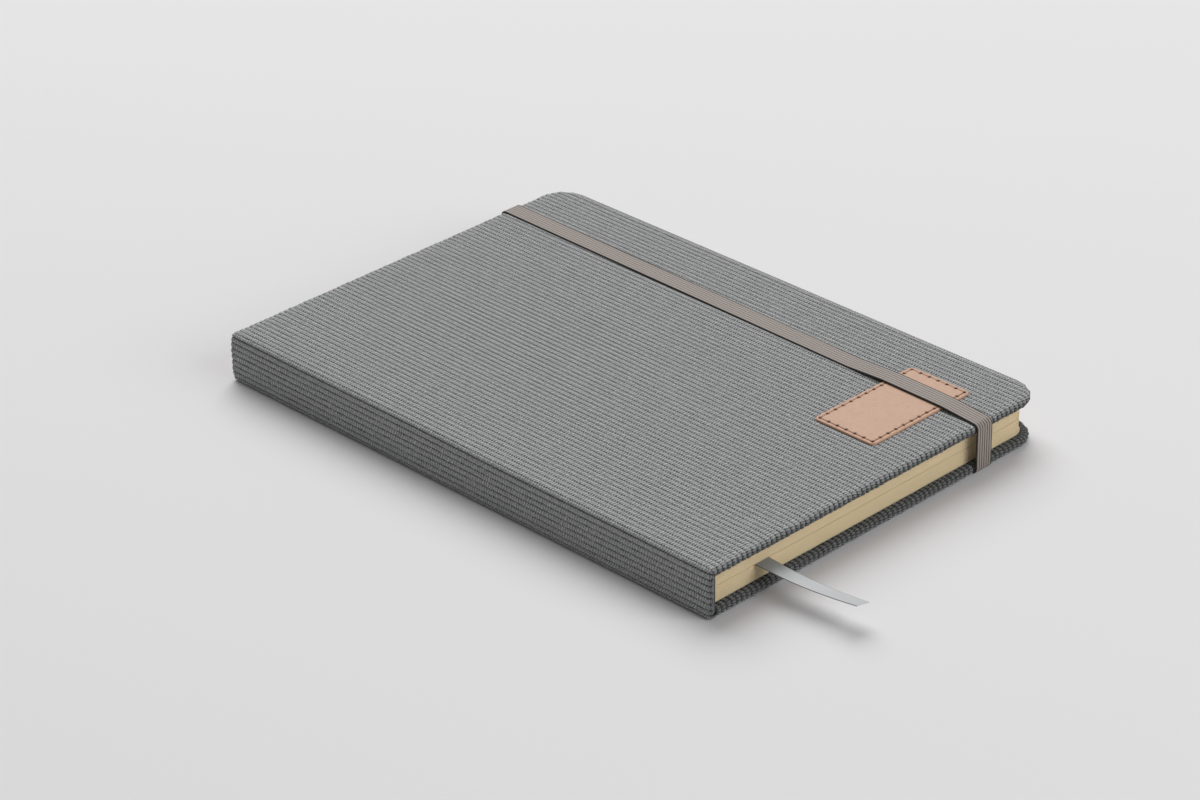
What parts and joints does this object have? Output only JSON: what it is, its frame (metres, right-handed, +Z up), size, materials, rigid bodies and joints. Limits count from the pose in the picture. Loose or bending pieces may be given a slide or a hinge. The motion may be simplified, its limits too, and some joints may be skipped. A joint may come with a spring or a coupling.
{
  "type": "hardcover notebook",
  "caption": "Closed cloth-bound hardcover notebook with an elastic closure, a ribbon marker and a blank stitched leather patch. It opens flat at its middle.",
  "frame": {"origin": "on the surface that the notebook lies on, below the middle of its covers", "axes": "+X from the spine to the fore edge, +Y from the tail to the head, +Z up out of the front cover"},
  "size_m": [0.148, 0.2439, 0.0185],
  "materials": {
    "corduroy": "matte",
    "greyboard": "matte",
    "endpaper": "matte",
    "page_paper": "matte",
    "crash_cloth": "matte",
    "sewing_thread": "matte",
    "ribbon_satin": "satin",
    "elastic_braid": "matte",
    "leather": "matte",
    "waxed_thread": "satin"
  },
  "bodies": {
    "back_cover": {"back_cloth": "corduroy", "back_board": "greyboard", "back_pastedown": "endpaper", "back_hinge_cloth": "corduroy", "back_flyleaf": "endpaper", "signature_01": "page_paper", "signature_02": "page_paper", "signature_03": "page_paper", "signature_04": "page_paper", "signature_05": "page_paper", "signature_06": "page_paper", "lower_spine_lining": "crash_cloth", "lower_sewing_thread": "sewing_thread", "ribbon_held": "ribbon_satin", "elastic_end_tail": "elastic_braid", "elastic_end_head": "elastic_braid"},
    "spine": {"spine_cloth": "corduroy", "spine_board": "greyboard", "front_hinge_cloth": "corduroy"},
    "front_cover": {"front_cloth": "corduroy", "front_board": "greyboard", "front_pastedown": "endpaper", "leather_patch": "leather", "patch_stitching": "waxed_thread"},
    "upper_pages": {"signature_07": "page_paper", "signature_08": "page_paper", "signature_09": "page_paper", "signature_10": "page_paper", "signature_11": "page_paper", "signature_12": "page_paper", "upper_spine_lining": "crash_cloth", "upper_sewing_thread": "sewing_thread", "front_flyleaf": "endpaper"},
    "elastic": {"elastic_band": "elastic_braid"},
    "ribbon": {"ribbon_tail": "ribbon_satin"}
  },
  "joints": [
    {"name": "book_opening", "type": "hinge", "parent": "back_cover", "child": "spine", "pos_m": [-0.0723, 0, 0.0017], "axis": [0, -1, 0], "range_deg": [0, 90], "deforming": ["back_hinge_cloth"]},
    {"name": "front_cover_hinge", "type": "hinge", "parent": "spine", "child": "front_cover", "pos_m": [-0.0723, 0, 0.01522], "axis": [0, -1, 0], "range_deg": [0, 90], "deforming": ["front_hinge_cloth"]},
    {"name": "page_gutter", "type": "hinge", "parent": "back_cover", "child": "upper_pages", "pos_m": [-0.0715, 0, 0.00846], "axis": [0, -1, 0], "range_deg": [0, 180]},
    {"name": "elastic_release", "type": "hinge", "parent": "back_cover", "child": "elastic", "pos_m": [0.05753, 0, -0.00505], "axis": [0, 1, 0], "range_deg": [0, 90], "deforming": ["elastic_band"]},
    {"name": "ribbon_lift", "type": "hinge", "parent": "back_cover", "child": "ribbon", "pos_m": [-0.0491, -0.102, 0.00834], "axis": [-1, 0, 0], "range_deg": [-11, 45]}
  ],
  "couplings": [
    {"joint": "front_cover_hinge", "follows": "book_opening", "ratio": 1},
    {"joint": "page_gutter", "follows": "book_opening", "ratio": 2},
    {"joint": "elastic_release", "follows": "book_opening", "ratio": 0.9}
  ]
}
